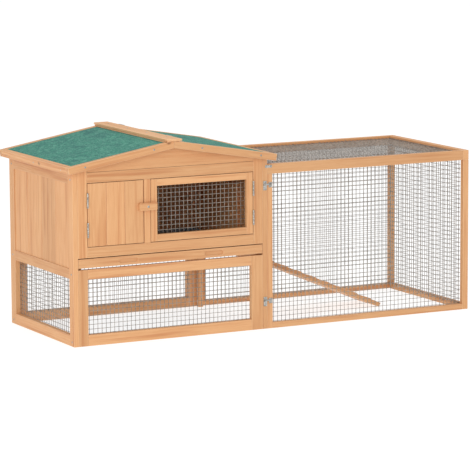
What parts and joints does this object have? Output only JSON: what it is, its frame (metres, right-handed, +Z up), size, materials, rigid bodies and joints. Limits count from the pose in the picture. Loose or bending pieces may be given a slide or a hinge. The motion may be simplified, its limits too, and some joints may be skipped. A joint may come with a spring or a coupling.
{
  "type": "rabbit hutch",
  "caption": "Wooden rabbit hutch: gabled house with solid and wire doors, drawer and hinged roof, over an open lower room, with a ramp down into a flat-topped wire run.",
  "frame": {"origin": "middle of the footprint at ground level", "axes": "+X along the hutch from the house to the run, +Y towards the back, +Z up"},
  "size_m": [1.558, 0.594, 0.6808],
  "materials": {
    "fir_wood": "honey stained fir, satin",
    "cap_wood": "honey stained fir, satin",
    "roofing_felt": "green mineral granules on bitumen",
    "galvanised_mesh": "galvanised welded wire",
    "zinc_hardware": "zinc plated",
    "tray_steel": "galvanised sheet"
  },
  "bodies": {
    "root": {"left_wall_frame": "fir_wood", "left_wall_boards": "fir_wood", "right_wall_frame": "fir_wood", "right_wall_boards": "fir_wood", "back_wall_frame": "fir_wood", "back_wall_boards": "fir_wood", "back_gable_board": "fir_wood", "upper_front_frame": "fir_wood", "door_mullion": "fir_wood", "front_gable_board": "fir_wood", "lower_front_frame": "fir_wood", "partition_board": "fir_wood", "drawer_runners": "fir_wood", "left_roof_board": "fir_wood", "left_roof_fascias": "fir_wood", "ridge_cap": "cap_wood", "run_front_frame": "fir_wood", "run_back_frame": "fir_wood", "run_end_frame": "fir_wood", "run_top_frame": "fir_wood", "pop_door_guides": "fir_wood", "left_wall_mesh": "galvanised_mesh", "back_wall_mesh": "galvanised_mesh", "lower_front_mesh": "galvanised_mesh", "run_front_mesh": "galvanised_mesh", "run_back_mesh": "galvanised_mesh", "run_end_mesh": "galvanised_mesh", "run_top_mesh": "galvanised_mesh", "roof_hinge_cap_leaves": "zinc_hardware", "door_hinge_post_leaves": "zinc_hardware", "ramp_hinge_wall_leaves": "zinc_hardware", "hinge_pins": "zinc_hardware", "latch_plates": "zinc_hardware", "latch_keeps": "zinc_hardware", "run_corner_brackets": "zinc_hardware", "frame_screws": "zinc_hardware", "left_fascia_screws": "zinc_hardware", "left_roof_felt": "roofing_felt"},
    "roof_lid": {"right_roof_board": "fir_wood", "right_roof_felt": "roofing_felt", "right_roof_fascias": "fir_wood", "roof_hinge_lid_leaves": "zinc_hardware", "lid_screws": "zinc_hardware"},
    "nest_door": {"nest_door_boards": "fir_wood", "nest_door_battens": "fir_wood", "nest_door_hinge_leaves": "zinc_hardware"},
    "wire_door": {"wire_door_frame": "fir_wood", "wire_door_mesh": "galvanised_mesh", "wire_door_hinge_leaves": "zinc_hardware"},
    "turn_button": {"turn_button": "fir_wood"},
    "drawer": {"drawer_front": "fir_wood", "drawer_tray": "tray_steel"},
    "pop_door": {"pop_door": "fir_wood", "pop_door_knob": "fir_wood"},
    "ramp": {"ramp_board": "fir_wood", "ramp_cleats": "fir_wood", "ramp_hinge_board_leaves": "zinc_hardware"},
    "front_upper_hook": {"front_upper_hook": "zinc_hardware"},
    "front_lower_hook": {"front_lower_hook": "zinc_hardware"},
    "back_hook": {"back_hook": "zinc_hardware"}
  },
  "joints": [
    {"name": "roof_lid_hinge", "type": "hinge", "parent": "root", "child": "roof_lid", "pos_m": [-0.3582, 0, 0.67701], "axis": [0, -1, 0], "range_deg": [0, 100]},
    {"name": "nest_door_hinge", "type": "hinge", "parent": "root", "child": "nest_door", "pos_m": [-0.6988, -0.269, 0.332], "axis": [0, 0, -1], "range_deg": [0, 160]},
    {"name": "wire_door_hinge", "type": "hinge", "parent": "root", "child": "wire_door", "pos_m": [-0.0802, -0.269, 0.332], "axis": [0, 0, 1], "range_deg": [0, 160]},
    {"name": "turn_button_pivot", "type": "hinge", "parent": "root", "child": "turn_button", "pos_m": [-0.47925, -0.266, 0.4555], "axis": [0, -1, 0], "range_deg": [-90, 90]},
    {"name": "drawer_slide", "type": "slide", "parent": "root", "child": "drawer", "axis": [0, -1, 0], "range_m": [0, 0.42]},
    {"name": "pop_door_slide", "type": "slide", "parent": "root", "child": "pop_door", "axis": [0, 1, 0], "range_m": [0, 0.16]},
    {"name": "ramp_hinge", "type": "hinge", "parent": "root", "child": "ramp", "pos_m": [-0.0225, -0.002, 0.2505], "axis": [0, -1, 0], "range_deg": [0, 50]},
    {"name": "front_upper_hook_pivot", "type": "hinge", "parent": "root", "child": "front_upper_hook", "pos_m": [-0.035, -0.26925, 0.5], "axis": [0, -1, 0], "range_deg": [0, 90]},
    {"name": "front_lower_hook_pivot", "type": "hinge", "parent": "root", "child": "front_lower_hook", "pos_m": [-0.035, -0.26925, 0.099], "axis": [0, -1, 0], "range_deg": [0, 90]},
    {"name": "back_hook_pivot", "type": "hinge", "parent": "root", "child": "back_hook", "pos_m": [-0.035, 0.26925, 0.3], "axis": [0, -1, 0], "range_deg": [0, 90]}
  ]
}
